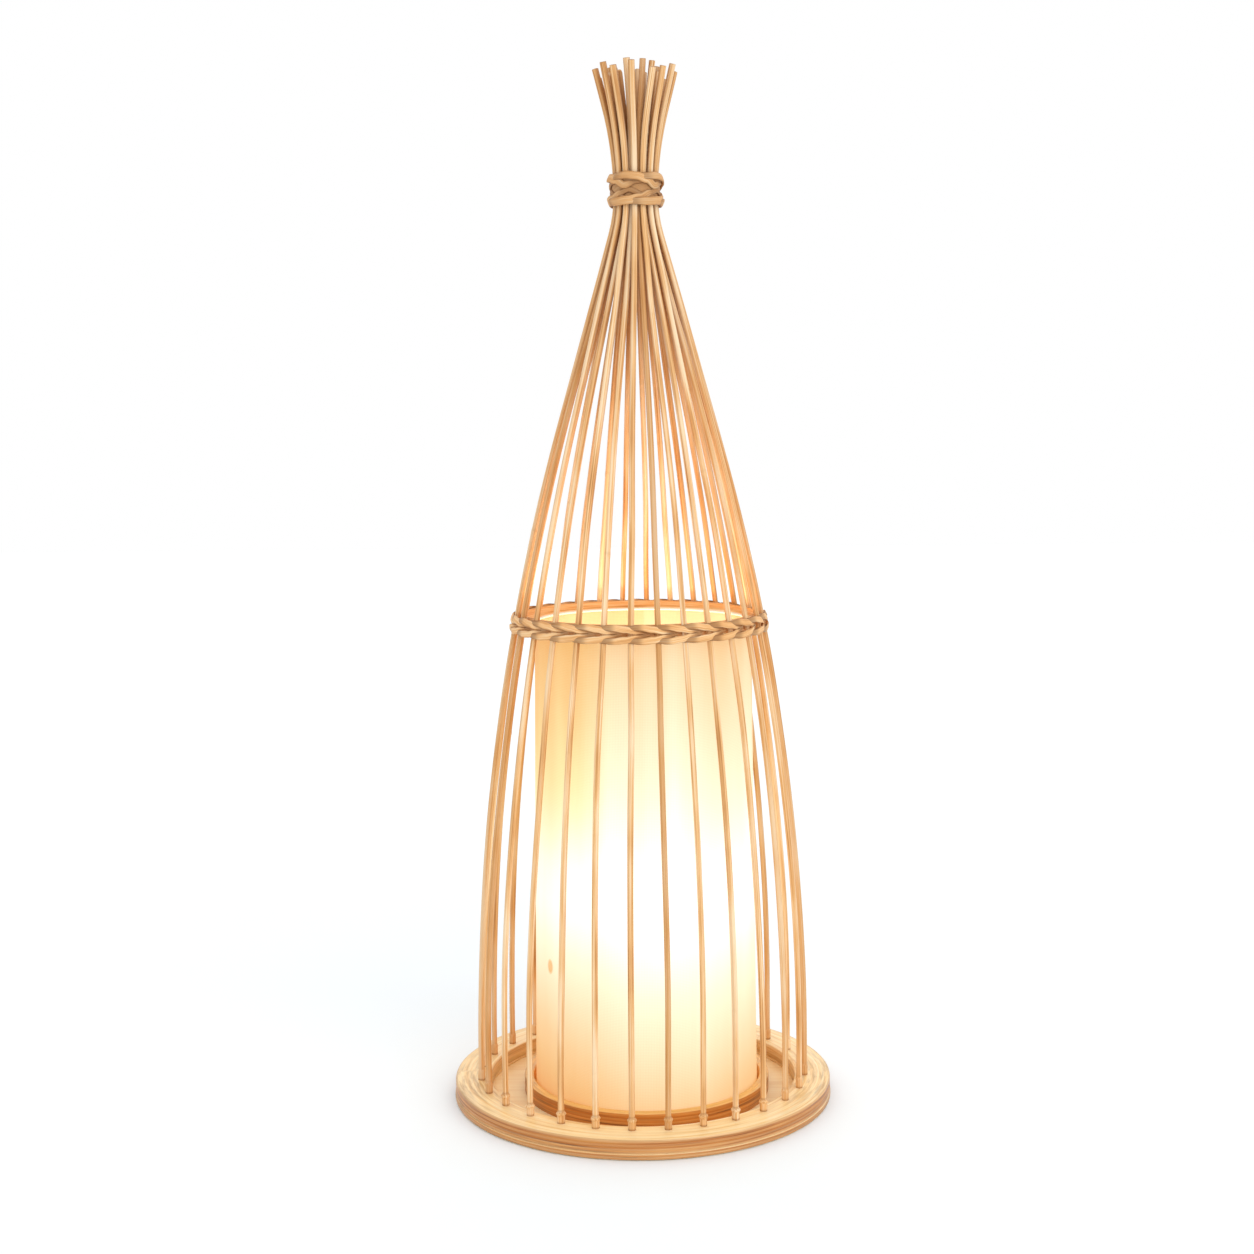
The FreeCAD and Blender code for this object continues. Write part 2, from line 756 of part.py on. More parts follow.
def glass_solid(name, inset):
    """The bulb's envelope: neck, shoulder and globe, shrunk by an inset."""
    centre = "bulb_seat + bulb_globe_height"
    shoulder = BULB_FOOT + " + bulb_neck_height"
    above = "bulb_globe_height - bulb_cap_height + bulb_neck_depth - bulb_neck_height"
    return fuse(name, [
        primitive("Sphere", name + "_globe", centre, Radius="bulb_globe_radius" + inset),
        primitive(
            "Cylinder", name + "_neck", BULB_FOOT, Radius="bulb_neck_radius" + inset,
            Height="bulb_neck_height",
        ),
        primitive(
            "Cone", name + "_shoulder", shoulder, Radius1="bulb_neck_radius" + inset,
            Radius2="bulb_globe_radius * cos(bulb_shoulder_angle * 1 deg)" + inset,
            Height=above + " - bulb_globe_radius * sin(bulb_shoulder_angle * 1 deg)",
        ),
    ])


def make_bulb_glass():
    """The clear globe, its shoulder and its neck, as one thin wall that ends in the cap."""
    outside = glass_solid("glass_outside", "")
    inside = glass_solid("glass_inside", " - bulb_glass_wall")
    keep(move_to_light(cut("glass_wall", outside, inside)), "bulb_glass")


def make_bulb_inside():
    """The glass stem and the glowing rods round it."""
    stem = primitive(
        "Cone", "stem_cone", BULB_FOOT, Radius1="bulb_stem_radius", Radius2="bulb_stem_tip_radius",
        Height="bulb_stem_height",
    )
    keep(move_to_light(stem), "bulb_stem")
    rods = []
    for number in range(FILAMENTS):
        rod = doc.addObject("Part::Cylinder", "filament_%d" % (number + 1))
        bind(rod, Radius="filament_radius", Height="filament_length")
        angle = math.radians(FIRST_FILAMENT + number * 360.0 / FILAMENTS)
        out = Vector(math.cos(angle), math.sin(angle), 0)
        lean = FreeCAD.Rotation(Vector(-out.y, out.x, 0), size("filament_lean"))
        height = size("bulb_seat") + size("bulb_globe_height") - size("filament_length") / 2.0
        rod.Placement = FreeCAD.Placement(out * size("filament_circle") + Vector(0, 0, height), lean)
        rods.append(rod)
    keep(move_to_light(group("filament_group", rods)), "bulb_filaments")


# ---------------------------------------------------------------- build, test and write


def check(item):
    """Stop if an object failed or a piece has no sound shape."""
    if "Invalid" in item.State or "Error" in item.State:
        raise RuntimeError("%s failed: %s" % (item.Label, item.State))


make_base_ring()
make_base_rim()
make_floor_board()
make_board_screws()
make_lead_bush()
for cane in range(CANES):
    make_cane(cane)
make_mid_weave()
make_neck_weave()
make_hoop()
make_hoop_grommet()
make_shade()
make_holder_plate()
make_plate_screws()
make_holder_tube()
make_tube_nuts()
make_holder()
make_bulb_base()
make_bulb_glass()
make_bulb_inside()
doc.recompute()

for item in doc.Objects:
    check(item)
for piece in pieces:
    if piece.Shape.isNull() or not piece.Shape.isValid():
        raise RuntimeError(piece.Label + " has no sound shape")
os.makedirs("parts", exist_ok=True)
for piece in pieces:
    piece.Shape.exportStep("parts/%s.step" % piece.Label)
    bounds = piece.Shape.BoundBox
    print("%-20s %2d solids %12.1f mm3  z %.1f to %.1f" % (
        piece.Label, len(piece.Shape.Solids), piece.Shape.Volume, bounds.ZMin, bounds.ZMax))
print(len(pieces), "pieces")
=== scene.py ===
import json
import math
import random

import bpy
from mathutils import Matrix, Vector, noise


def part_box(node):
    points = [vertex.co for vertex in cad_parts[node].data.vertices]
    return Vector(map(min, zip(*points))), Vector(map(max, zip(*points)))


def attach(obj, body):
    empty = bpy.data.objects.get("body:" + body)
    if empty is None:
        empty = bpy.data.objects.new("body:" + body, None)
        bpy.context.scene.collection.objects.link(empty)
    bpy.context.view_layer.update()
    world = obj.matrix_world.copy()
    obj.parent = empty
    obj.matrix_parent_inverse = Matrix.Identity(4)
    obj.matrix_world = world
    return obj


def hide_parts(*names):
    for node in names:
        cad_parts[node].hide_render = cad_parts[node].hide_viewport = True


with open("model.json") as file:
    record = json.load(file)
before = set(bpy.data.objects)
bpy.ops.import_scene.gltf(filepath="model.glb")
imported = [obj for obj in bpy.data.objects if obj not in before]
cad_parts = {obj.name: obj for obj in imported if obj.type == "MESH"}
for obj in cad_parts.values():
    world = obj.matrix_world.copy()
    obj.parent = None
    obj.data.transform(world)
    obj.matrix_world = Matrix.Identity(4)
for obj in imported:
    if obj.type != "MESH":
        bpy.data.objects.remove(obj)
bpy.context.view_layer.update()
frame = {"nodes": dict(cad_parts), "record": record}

# ---------------------------------------------------------------- dimensions, in metres

MM = 0.001
BASE_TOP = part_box("base_ring")[1].z
LIGHT_X = (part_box("shade_hoop")[0].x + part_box("shade_hoop")[1].x) / 2

# Canes. Heights, called rises, are measured from the base's top.
CANES = 28
CANE_SIDES = 14
FIRST_CANE = -4.6               # bearing of the first cane in degrees, from the front towards +X
HAND_DRIFT = 2.1                # degrees that hand setting moves a cane from even spacing
DRIFT_PHASE = 8.0               # bearing where that drift is nothing
CANE_RADIUS = 2.2 * MM
CANE_CIRCLE = 129.6 * MM
CANE_FOOT = -9.9 * MM
CANE_STRAIGHT = 20.0 * MM
BELLY = 1820.0 * MM             # radius of the long bend above the base
WAIST_BEND = 107.5 * MM
WAIST_RISE = 692.4 * MM
TIP_RISE = 788.0 * MM
TIP_SPREAD = 4.0 * MM
TIP_STEP = 2.4
TIP_DROP = 4.5 * MM
SIDE_STRAY = 1.9 * MM           # how far a free stretch of cane wanders sideways
OUT_STRAY = 1.0 * MM
KNUCKLE_RISE = 7.6 * MM
KNUCKLE_SIZE = 1.25 * MM
WEAVE_RISE = 365.0 * MM

# Every second cane stands inside the others at the waist. The key says whether it is an inner cane.
WAIST_RADIUS = {False: 14.9 * MM, True: 11.0 * MM}
FAN_BEND = {False: 255.0 * MM, True: 400.0 * MM}
FAN_ANGLE = {False: math.radians(14.5), True: math.radians(8.6)}
FAN_LEAN = {False: 8.0, True: 20.0}
LEAN_STEP = {False: 0.9, True: 0.45}

# Base and hoop
BASE_BORE = 121.8 * MM
REBATE_RADIUS = 132.0 * MM
REBATE_DEPTH = 2.6 * MM
RIM_ROUNDING = 1.4 * MM
STRIP_PITCH = 2.9 * MM          # height of one wound strip
HOOP_WALL = 7.5 * MM

# Shade
SHADE_TAPER = 4.0 * MM
SHADE_WALL = 0.6 * MM
GLOW_HEIGHT = 0.173

UP = Vector((0, 0, 1))


# ---------------------------------------------------------------- curves


def ease(value, low, high):
    """A smooth step from 0 at low to 1 at high."""
    t = min(1.0, max(0.0, (value - low) / (high - low)))
    return t * t * (3 - 2 * t)


def hill(value, centre, width):
    """A smooth bump of height 1."""
    return math.exp(-(((value - centre) / width) ** 2))


def cycle(keys, place):
    """A value that repeats, read smoothly between keys of (place, value) over a period."""
    period = keys[-1][0]
    place = place % period
    for (a, low), (b, high) in zip(keys, keys[1:]):
        if place <= b:
            return low + (high - low) * ease(place, a, b)
    return keys[-1][1]


def outward(angle):
    """The direction away from the axis at a bearing from the front towards +X."""
    return Vector((math.sin(angle), -math.cos(angle), 0))


def sideways(angle):
    return Vector((math.cos(angle), math.sin(angle), 0))


# ---------------------------------------------------------------- mesh helpers


def new_piece(name, vertices, faces, material, body, **attributes):
    """A mesh object that rides on a body. attributes are per-vertex numbers or vectors."""
    mesh = bpy.data.meshes.new(name)
    mesh.from_pydata([tuple(v) for v in vertices], [], faces)
    for key, values in attributes.items():
        if hasattr(values[0], "__len__"):
            layer = mesh.attributes.new(key, "FLOAT_VECTOR", "POINT")
            layer.data.foreach_set("vector", [c for v in values for c in v])
        else:
            layer = mesh.attributes.new(key, "FLOAT", "POINT")
            layer.data.foreach_set("value", values)
    mesh.polygons.foreach_set("use_smooth", [True] * len(mesh.polygons))
    mesh.materials.append(material)
    mesh.update()
    piece = bpy.data.objects.new(name, mesh)
    bpy.context.scene.collection.objects.link(piece)
    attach(piece, body)
    return piece


def ring_faces(rings, sides, closed):
    """Quads that join rings of vertices one after another, round again if closed."""
    faces = []
    count = rings if closed else rings - 1
    for ring in range(count):
        here = ring * sides
        there = ((ring + 1) % rings) * sides
        for side in range(sides):
            nxt = (side + 1) % sides
            faces.append((here + side, here + nxt, there + nxt, there + side))
    return faces


def uprightness(profile):
    """How far each point of a lathe's profile lies on an upright side, where edge colour and
    painted shade go, less on the inner one.
    """
    middle = (min(p[0] for p in profile) + max(p[0] for p in profile)) / 2
    upright = []
    for k, (radius, height) in enumerate(profile):
        before = profile[k - 1]
        after = profile[(k + 1) % len(profile)]
        run = math.hypot(after[0] - before[0], after[1] - before[1])
        share = abs(after[1] - before[1]) / run
        layer = 0.82 + 0.18 * math.sin(2 * math.pi * height / STRIP_PITCH)
        upright.append(share ** 2 * layer * (1.0 if radius > middle else 0.4))
    return upright


def lathe(name, profile, segments, centre_x, material, body, wobble=0.0):
    """Turn a closed profile of (radius, height) points about an upright axis.

    wobble is how far the surface strays from the profile.
    """
    vertices = []
    grain = []
    side = []
    stain = []
    upright = uprightness(profile)
    for step in range(segments):
        angle = -math.pi / 2 + 2 * math.pi * step / segments
        for radius, height in profile:
            place = Vector((6 * math.cos(angle), 6 * math.sin(angle), height * 400))
            reach = radius + wobble * noise.noise(place)
            vertices.append((centre_x + reach * math.sin(angle), -reach * math.cos(angle), height))
            grain.append((radius, height, angle))
            stain.append(stain_at(angle))
        side += upright
    faces = ring_faces(segments, len(profile), True)
    return new_piece(name, vertices, faces, material, body, grain=grain, side=side, stain=stain)


def stain_at(angle):
    """Where round a ring the bamboo is stained brown: left, right and at the back."""
    level = 0.12
    for centre, width in ((-78, 24), (84, 26), (170, 30)):
        away = (math.degrees(angle) - centre + 180) % 360 - 180
        level += 0.75 * hill(away, 0, width)
    return min(1.0, level)


# ---------------------------------------------------------------- material helpers


class Paint:
    """A procedural material while its nodes are put together."""

    def __init__(self, name, **sockets):
        self.material = bpy.data.materials.new(name)
        self.material.use_nodes = True
        self.tree = self.material.node_tree
        self.shader = self.tree.nodes["Principled BSDF"]
        for key, value in sockets.items():
            self.shader.inputs[key.replace("_", " ")].default_value = value

    def node(self, kind, inputs=(), **settings):
        """A node with its settings, and its inputs linked or set by name or number."""
        made = self.tree.nodes.new(kind)
        for key, value in settings.items():
            setattr(made, key, value)
        for key, value in dict(inputs).items():
            self.feed(made.inputs[key], value)
        return made

    def feed(self, socket, value):
        if isinstance(value, bpy.types.NodeSocket):
            self.tree.links.new(value, socket)
        else:
            socket.default_value = value

    def attribute(self, name, vector=False):
        made = self.node("ShaderNodeAttribute", attribute_name=name)
        return made.outputs["Vector" if vector else "Fac"]

    def stretched(self, vector, scale):
        made = self.node("ShaderNodeMapping", {"Vector": vector, "Scale": scale})
        return made.outputs["Vector"]

    def noise(self, vector, scale, detail=3.0, roughness=0.55, distortion=0.0):
        made = self.node("ShaderNodeTexNoise", {
            "Vector": vector, "Scale": scale, "Detail": detail,
            "Roughness": roughness, "Distortion": distortion,
        })
        return made.outputs["Fac"]

    def math(self, operation, a, b=0.0):
        made = self.node("ShaderNodeMath", {0: a, 1: b}, operation=operation)
        return made.outputs[0]

    def shared(self, first, first_share, second, second_share):
        """The sum of two patterns, each times its share."""
        a = self.math("MULTIPLY", first, first_share)
        b = self.math("MULTIPLY", second, second_share)
        return self.math("ADD", a, b)

    def remap(self, value, low, high, to_low=0.0, to_high=1.0):
        made = self.node("ShaderNodeMapRange", {
            "Value": value, "From Min": low, "From Max": high, "To Min": to_low, "To Max": to_high,
        })
        return made.outputs["Result"]

    def ramp(self, value, stops):
        made = self.node("ShaderNodeValToRGB", {"Fac": value})
        elements = made.color_ramp.elements
        while len(elements) < len(stops):
            elements.new(0.5)
        for element, (place, colour) in zip(elements, stops):
            element.position = place
            element.color = (*colour, 1.0)
        return made.outputs["Color"]

    def blend(self, factor, a, b, kind="MIX"):
        made = self.node("ShaderNodeMix", data_type="RGBA", blend_type=kind)
        self.feed(made.inputs["Factor"], factor)
        self.feed(made.inputs["A"], a if isinstance(a, bpy.types.NodeSocket) else (*a, 1.0))
        self.feed(made.inputs["B"], b if isinstance(b, bpy.types.NodeSocket) else (*b, 1.0))
        return made.outputs["Result"]

    def bump(self, height, distance, strength=1.0):
        made = self.node("ShaderNodeBump", {
            "Height": height, "Distance": distance, "Strength": strength,
        })
        self.feed(self.shader.inputs["Normal"], made.outputs["Normal"])

    def colour(self, value):
        self.feed(self.shader.inputs["Base Color"], value)

    def roughness(self, value):
        self.feed(self.shader.inputs["Roughness"], value)


# ---------------------------------------------------------------- materials


def cane_paint():
    """Peeled bamboo rod: fine streaks along it, darker joints and cut ends, painted shade at its
    foot and where canes crowd.
    """
    paint = Paint("cane_bamboo", Roughness=0.5, Specular_IOR_Level=0.3)
    grain = paint.attribute("grain", vector=True)
    fine = paint.noise(paint.stretched(grain, (1100, 1100, 9)), 1.0, 3.0)
    slow = paint.noise(paint.stretched(grain, (60, 60, 12)), 1.0, 2.0)
    tone = paint.attribute("tone")
    mark = paint.attribute("mark")
    body = paint.ramp(paint.shared(fine, 0.55, slow, 0.45), [
        (0.36, (0.52, 0.22, 0.06)),
        (0.46, (0.84, 0.48, 0.195)),
        (0.59, (0.99, 0.77, 0.50)),
    ])
    toned = paint.blend(tone, body, (0.55, 0.25, 0.07))
    # Joints, cut ends and a stripe darkened, with painted shade at the foot and where canes crowd.
    marked = paint.blend(mark, toned, (0.29, 0.10, 0.022))
    paint.colour(marked)
    paint.roughness(paint.remap(fine, 0.3, 0.7, 0.42, 0.62))
    paint.bump(fine, 0.00012, 0.6)
    return paint.material


def weave_paint():
    """Flat bamboo strip: matt, with fibres along it, and painted shade at its edges and where it
    passes under.
    """
    paint = Paint("bamboo_weave", Roughness=0.55, Specular_IOR_Level=0.35)
    grain = paint.attribute("grain", vector=True)
    fine = paint.noise(paint.stretched(grain, (1500, 500, 25)), 1.0, 4.0)
    slow = paint.noise(paint.stretched(grain, (160, 60, 22)), 1.0, 2.0)
    body = paint.ramp(paint.shared(fine, 0.6, slow, 0.4), [
        (0.34, (0.62, 0.27, 0.075)),
        (0.48, (0.86, 0.47, 0.185)),
        (0.64, (0.98, 0.70, 0.40)),
    ])
    # tone darkens whole strips: painted shade on the neck binding, darker still on the core strips.
    toned = paint.blend(paint.attribute("tone"), body, (0.44, 0.20, 0.065))
    # Painted shade at the edges and where the strip passes under, and a browner tone on some
    # strokes.
    paint.colour(paint.blend(paint.attribute("mark"), toned, (0.17, 0.06, 0.018)))
    paint.roughness(paint.remap(fine, 0.3, 0.7, 0.5, 0.72))
    paint.bump(fine, 0.00022, 0.8)
    return paint.material


def wound_paint(name, light, middle, dark):
    """Wound strip: pale on its flat top, brown with lines on its edge (partly painted shade), with
    brown stains.
    """
    paint = Paint(
        name, Roughness=0.36, Specular_IOR_Level=0.25, Coat_Weight=0.12, Coat_Roughness=0.25)
    grain = paint.attribute("grain", vector=True)
    fine = paint.noise(paint.stretched(grain, (1000, 1000, 2.2)), 1.0, 4.0, 0.6)
    broad = paint.noise(paint.stretched(grain, (260, 330, 0.9)), 1.0, 3.0)
    lines = paint.shared(fine, 0.45, broad, 0.55)
    body = paint.ramp(lines, [(0.30, dark), (0.46, middle), (0.64, light)])
    edge = paint.attribute("side")
    strips = paint.ramp(lines, [
        (0.38, (0.15, 0.04, 0.004)),
        (0.46, (0.45, 0.16, 0.02)),
        (0.62, (0.69, 0.32, 0.05)),
    ])
    # The upright sides take the darker edge colour: partly the strips' edge grain, partly painted
    # shade.
    sides_grain_and_shade = paint.blend(paint.math("MULTIPLY", edge, 0.95), body, strips, "MULTIPLY")
    streaks = paint.noise(paint.stretched(grain, (300, 300, 5.0)), 1.0, 3.0, 0.6)
    where = paint.math("MULTIPLY", paint.remap(streaks, 0.40, 0.78), paint.attribute("stain"))
    stained = paint.blend(where, sides_grain_and_shade, (0.30, 0.15, 0.055))
    paint.colour(stained)
    paint.roughness(paint.remap(fine, 0.3, 0.7, 0.30, 0.46))
    paint.bump(lines, 0.00012, 0.5)
    return paint.material


def board_paint():
    """Pale veneer with a soft straight grain."""
    paint = Paint("plywood", Roughness=0.55)
    place = paint.node("ShaderNodeNewGeometry").outputs["Position"]
    fine = paint.noise(paint.stretched(place, (14, 420, 420)), 1.0, 4.0)
    wave = paint.noise(paint.stretched(place, (5, 60, 60)), 1.0, 2.0, distortion=0.6)
    body = paint.ramp(paint.shared(fine, 0.5, wave, 0.5), [
        (0.30, (0.84, 0.58, 0.29)),
        (0.50, (0.93, 0.71, 0.40)),
        (0.72, (0.97, 0.80, 0.50)),
    ])
    paint.colour(body)
    paint.bump(fine, 0.0001, 0.5)
    return paint.material


# Colours of the lit cloth, from the weakest light through it to the strongest.
SHADE_GLOW = [
    (0.00, (0.57, 0.23, 0.05)),
    (0.15, (0.60, 0.32, 0.10)),
    (0.30, (0.63, 0.40, 0.18)),
    (0.45, (0.66, 0.51, 0.30)),
    (0.60, (0.70, 0.63, 0.43)),
    (0.75, (0.77, 0.74, 0.57)),
    (0.88, (0.88, 0.84, 0.78)),
    (1.00, (1.00, 0.99, 1.00)),
]

# The small drop-shaped mark low on the left of the shade, in metres along the cloth.
MARK_LEFT = 0.089
MARK_HEIGHT = 0.1155
MARK_NARROW = 280               # one over its half width
MARK_SHORT = 190                # one over its half height


def shade_paint():
    """Cream cotton lit from inside: almost white by the bulb, orange where the light is weak.

    The vertex attributes are glow, the light that comes through, and warm, where it is yellower.
    """
    paint = Paint("shade_fabric", Roughness=0.85)
    glow = paint.attribute("glow")
    cloth = paint.attribute("grain", vector=True)
    weave = {"Vector": cloth, "Scale": 260.0, "Distortion": 0.6, "Detail": 1.0}
    warp = paint.node("ShaderNodeTexWave", weave, bands_direction="X").outputs["Fac"]
    weft = paint.node("ShaderNodeTexWave", weave, bands_direction="Z").outputs["Fac"]
    threads = paint.shared(warp, 0.5, weft, 0.5)
    slub = paint.noise(paint.stretched(cloth, (34, 1, 5)), 1.0, 2.0)
    uneven = paint.math("MULTIPLY", paint.math("SUBTRACT", slub, 0.5), 0.14)
    thread_shade = paint.math("MULTIPLY", paint.math("SUBTRACT", threads, 0.5), 0.03)
    spot = paint.node("ShaderNodeMapping", {
        "Vector": cloth,
        "Location": (MARK_LEFT * MARK_NARROW, 0, -MARK_HEIGHT * MARK_SHORT),
        "Scale": (MARK_NARROW, 1, MARK_SHORT),
    }).outputs["Vector"]
    away = paint.node("ShaderNodeVectorMath", {0: spot}, operation="LENGTH").outputs["Value"]
    drop = paint.remap(away, 1.25, 0.75, 0.0, 0.50)
    field = paint.math("ADD", paint.math("ADD", glow, uneven), thread_shade)
    lit = paint.ramp(paint.math("SUBTRACT", field, drop), SHADE_GLOW)
    warm = paint.blend(paint.attribute("warm"), lit, (1.0, 0.95, 0.60), "MULTIPLY")
    paint.feed(paint.shader.inputs["Emission Color"], warm)
    paint.shader.inputs["Emission Strength"].default_value = 1.0
    paint.colour(paint.ramp(threads, [(0.2, (0.38, 0.29, 0.18)), (0.8, (0.43, 0.34, 0.23))]))
    paint.bump(threads, 0.0001, 0.35)
    return paint.material


def plain_paint(name, base, variation, scale=60.0, bump=0.00005, **sockets):
    """A moulded, pressed or drawn surface with a slight unevenness of colour and gloss."""
    paint = Paint(name, **sockets)
    place = paint.node("ShaderNodeNewGeometry").outputs["Position"]
    patch = paint.noise(place, scale, 3.0)
    speck = paint.noise(place, scale * 20, 2.0)
    low = tuple(c * (1 - variation) for c in base)
    high = tuple(min(1.0, c * (1 + variation)) for c in base)
    paint.colour(paint.ramp(patch, [(0.3, low), (0.7, high)]))
    rough = paint.shader.inputs["Roughness"].default_value
    paint.roughness(paint.remap(speck, 0.3, 0.7, rough * 0.85, min(1.0, rough * 1.15)))
    paint.bump(speck, bump, 0.4)
    return paint.material


def glass_paint(name, colour):
    """Clear glass, very slightly uneven in tint."""
    paint = Paint(name, Roughness=0.03, Transmission_Weight=1.0, IOR=1.45)
    place = paint.node("ShaderNodeNewGeometry").outputs["Position"]
    patch = paint.noise(place, 40.0, 2.0)
    paint.colour(paint.ramp(patch, [(0.3, tuple(c * 0.97 for c in colour)), (0.7, colour)]))
    return paint.material


def glow_paint():
    """The bulb's glowing rods."""
    material = plain_paint("bulb_glow", (1.0, 0.78, 0.42), 0.05, Roughness=0.4)
    shader = material.node_tree.nodes["Principled BSDF"]
    shader.inputs["Emission Color"].default_value = (1.0, 0.72, 0.38, 1.0)
    shader.inputs["Emission Strength"].default_value = 12.0
    return material


CANE = cane_paint()
WEAVE = weave_paint()
BASE = wound_paint(
    "bamboo_base", light=(1.0, 0.86, 0.57), middle=(0.96, 0.68, 0.33), dark=(0.68, 0.37, 0.12))
HOOP = wound_paint(
    "bamboo_hoop", light=(0.98, 0.62, 0.22), middle=(0.88, 0.50, 0.15), dark=(0.66, 0.32, 0.08))
SHADE = shade_paint()

SLOT_PAINTS = {
    "plywood": board_paint(),
    "screw_steel": plain_paint(
        "screw_steel", (0.60, 0.60, 0.58), 0.08, Metallic=1.0, Roughness=0.32),
    "bush_rubber": plain_paint("bush_rubber", (0.03, 0.028, 0.026), 0.15, Roughness=0.7),
    "shade_wire": plain_paint("shade_wire", (0.80, 0.76, 0.68), 0.05, Roughness=0.4),
    "holder_steel": plain_paint(
        "holder_steel", (0.62, 0.60, 0.56), 0.08, Metallic=1.0, Roughness=0.3),
    "holder_plastic": plain_paint("holder_plastic", (0.78, 0.74, 0.66), 0.04, Roughness=0.45),
    "insulator_ceramic": plain_paint(
        "insulator_ceramic", (0.82, 0.80, 0.76), 0.03, Roughness=0.15),
    "contact_brass": plain_paint(
        "contact_brass", (0.76, 0.56, 0.24), 0.1, Metallic=1.0, Roughness=0.28),
    "bulb_black_glass": plain_paint(
        "bulb_black_glass", (0.02, 0.02, 0.025), 0.1, Roughness=0.08),
    "bulb_cap_metal": plain_paint(
        "bulb_cap_metal", (0.74, 0.74, 0.72), 0.06, Metallic=1.0, Roughness=0.25),
    "bulb_clear_glass": glass_paint("bulb_clear_glass", (0.96, 0.98, 1.0)),
    "bulb_glow": glow_paint(),
    "cane_bamboo": CANE,
    "bamboo_weave": WEAVE,
    "bamboo_base": BASE,
    "bamboo_hoop": HOOP,
    "shade_fabric": SHADE,
}


def paint_nodes():
    """Give every CAD node the material of its slot."""
    for part in frame["record"]["subparts"]:
        mesh = frame["nodes"][part["node"]].data
        mesh.materials.clear()
        mesh.materials.append(SLOT_PAINTS[part["material_slot"]])


# ---------------------------------------------------------------- canes


def bearing(number):
    """Angle of a cane from the front towards +X, with the drift of hand setting."""
    even = FIRST_CANE + number * 360.0 / CANES
    return math.radians(even - HAND_DRIFT * math.sin(math.radians(2.0 * (even - DRIFT_PHASE))))


def cane_slope(waist_radius):
    """Slope of the straight run between the belly arc and the waist arc."""
    bend = BELLY + WAIST_BEND
    side = bend - (CANE_CIRCLE - waist_radius)
    span = WAIST_RISE - CANE_STRAIGHT
    return math.atan2(span, side) - math.acos(bend / math.hypot(side, span))


def cane_radius_at(rise, waist_radius=WAIST_RADIUS[False]):
    """Distance of a cane's centre line from the axis, from its foot to its waist."""
    if rise < CANE_STRAIGHT:
        return CANE_CIRCLE
    slope = cane_slope(waist_radius)
    belly_end = CANE_STRAIGHT + BELLY * math.sin(slope)
    waist_start = WAIST_RISE - WAIST_BEND * math.sin(slope)
    if rise < belly_end:
        climb = rise - CANE_STRAIGHT
        return CANE_CIRCLE - BELLY + math.sqrt(BELLY * BELLY - climb * climb)
    if rise < waist_start:
        at_end = CANE_CIRCLE - BELLY * (1 - math.cos(slope))
        return at_end - math.tan(slope) * (rise - belly_end)
    drop = WAIST_RISE - rise
    return waist_radius + WAIST_BEND - math.sqrt(WAIST_BEND * WAIST_BEND - drop * drop)


def fan_out(rise, inner):
    """How far a cane has leaned out above its waist."""
    bend = FAN_BEND[inner]
    angle = FAN_ANGLE[inner]
    climb = rise - WAIST_RISE
    arc = bend * math.sin(angle)
    if climb < arc:
        return bend - math.sqrt(bend * bend - climb * climb)
    return bend * (1 - math.cos(angle)) + (climb - arc) * math.tan(angle)


def cane_freedom(rise):
    """How far a cane may stray from its drawn line: nothing where it is held."""
    near_weave = 1.0 - ease(abs(rise - WEAVE_RISE), 0.02, 0.09)
    near_waist = 1.0 - ease(abs(rise - WAIST_RISE), 0.015, 0.09)
    near_foot = 1.0 - ease(rise, 0.01, 0.12)
    return max(0.0, 1.0 - near_weave - near_waist - near_foot)


def cane_point(number, rise):
    """Centre of a cane at a height above the base's top."""
    inner = number % 2 == 1
    angle = bearing(number)
    stray = cane_freedom(rise)
    drift = Vector((number * 7.31, rise * 4.2, 0.0))
    side_stray = SIDE_STRAY * stray * noise.noise(drift)
    out_stray = OUT_STRAY * stray * noise.noise(drift + Vector((0, 0, 9.7)))
    if rise <= WAIST_RISE:
        radius = cane_radius_at(rise, WAIST_RADIUS[inner])
        flat = outward(angle) * (radius + out_stray) + sideways(angle) * side_stray
    else:
        lean = math.radians(FAN_LEAN[inner]) * math.sin(LEAN_STEP[inner] * number)
        reach = fan_out(rise, inner)
        way = outward(angle) * math.cos(lean) + sideways(angle) * math.sin(lean)
        flat = outward(angle) * WAIST_RADIUS[inner] + way * reach
        flat += sideways(angle) * side_stray * 2.0 + outward(angle) * out_stray
    return flat + UP * (BASE_TOP + rise)


def cane_heights(joints, tip):
    """Heights of a cane's rings: close together at its knuckle, joints and tip."""
    close = 0.9 * MM
    apart = 8 * MM
    heights = [CANE_FOOT] + [k * close for k in range(14)]
    heights += [14 * MM + k * apart for k in range(int((tip - 18 * MM) / apart) + 1)]
    for joint in joints:
        heights += [joint + k * 1.0 * MM for k in range(-5, 6)]
    heights = sorted(h for h in heights if h < tip - 1.2 * MM)
    kept = [heights[0]]
    for height in heights[1:]:
        if height - kept[-1] > 0.6 * MM:
            kept.append(height)
    return kept + [tip - 0.5 * MM, tip - 0.12 * MM, tip]


def cane_section(rise, radius, lip, joints, swell):
    """A cane's radius and darkness at a height, with its thick foot, the lip above, joints and a
    painted shadow where it meets the base.
    """
    foot = 1.0 - ease(rise, 6.0 * MM, 9.4 * MM)
    radius += (0.45 + 0.2 * lip) * MM * foot
    radius += KNUCKLE_SIZE * lip * hill(rise, KNUCKLE_RISE, 1.15 * MM)
    shade = 0.55 * hill(rise, 9.6 * MM, 0.8 * MM) * lip
    # Painted shadow where the cane enters the base's top.
    shade += 0.75 * hill(rise, 0.2 * MM, 0.9 * MM)
    for joint, size in zip(joints, swell):
        radius += size * hill(rise, joint, 1.8 * MM)
        shade += 900 * size * hill(rise, joint + 1.5 * MM, 1.0 * MM)
    return radius, shade


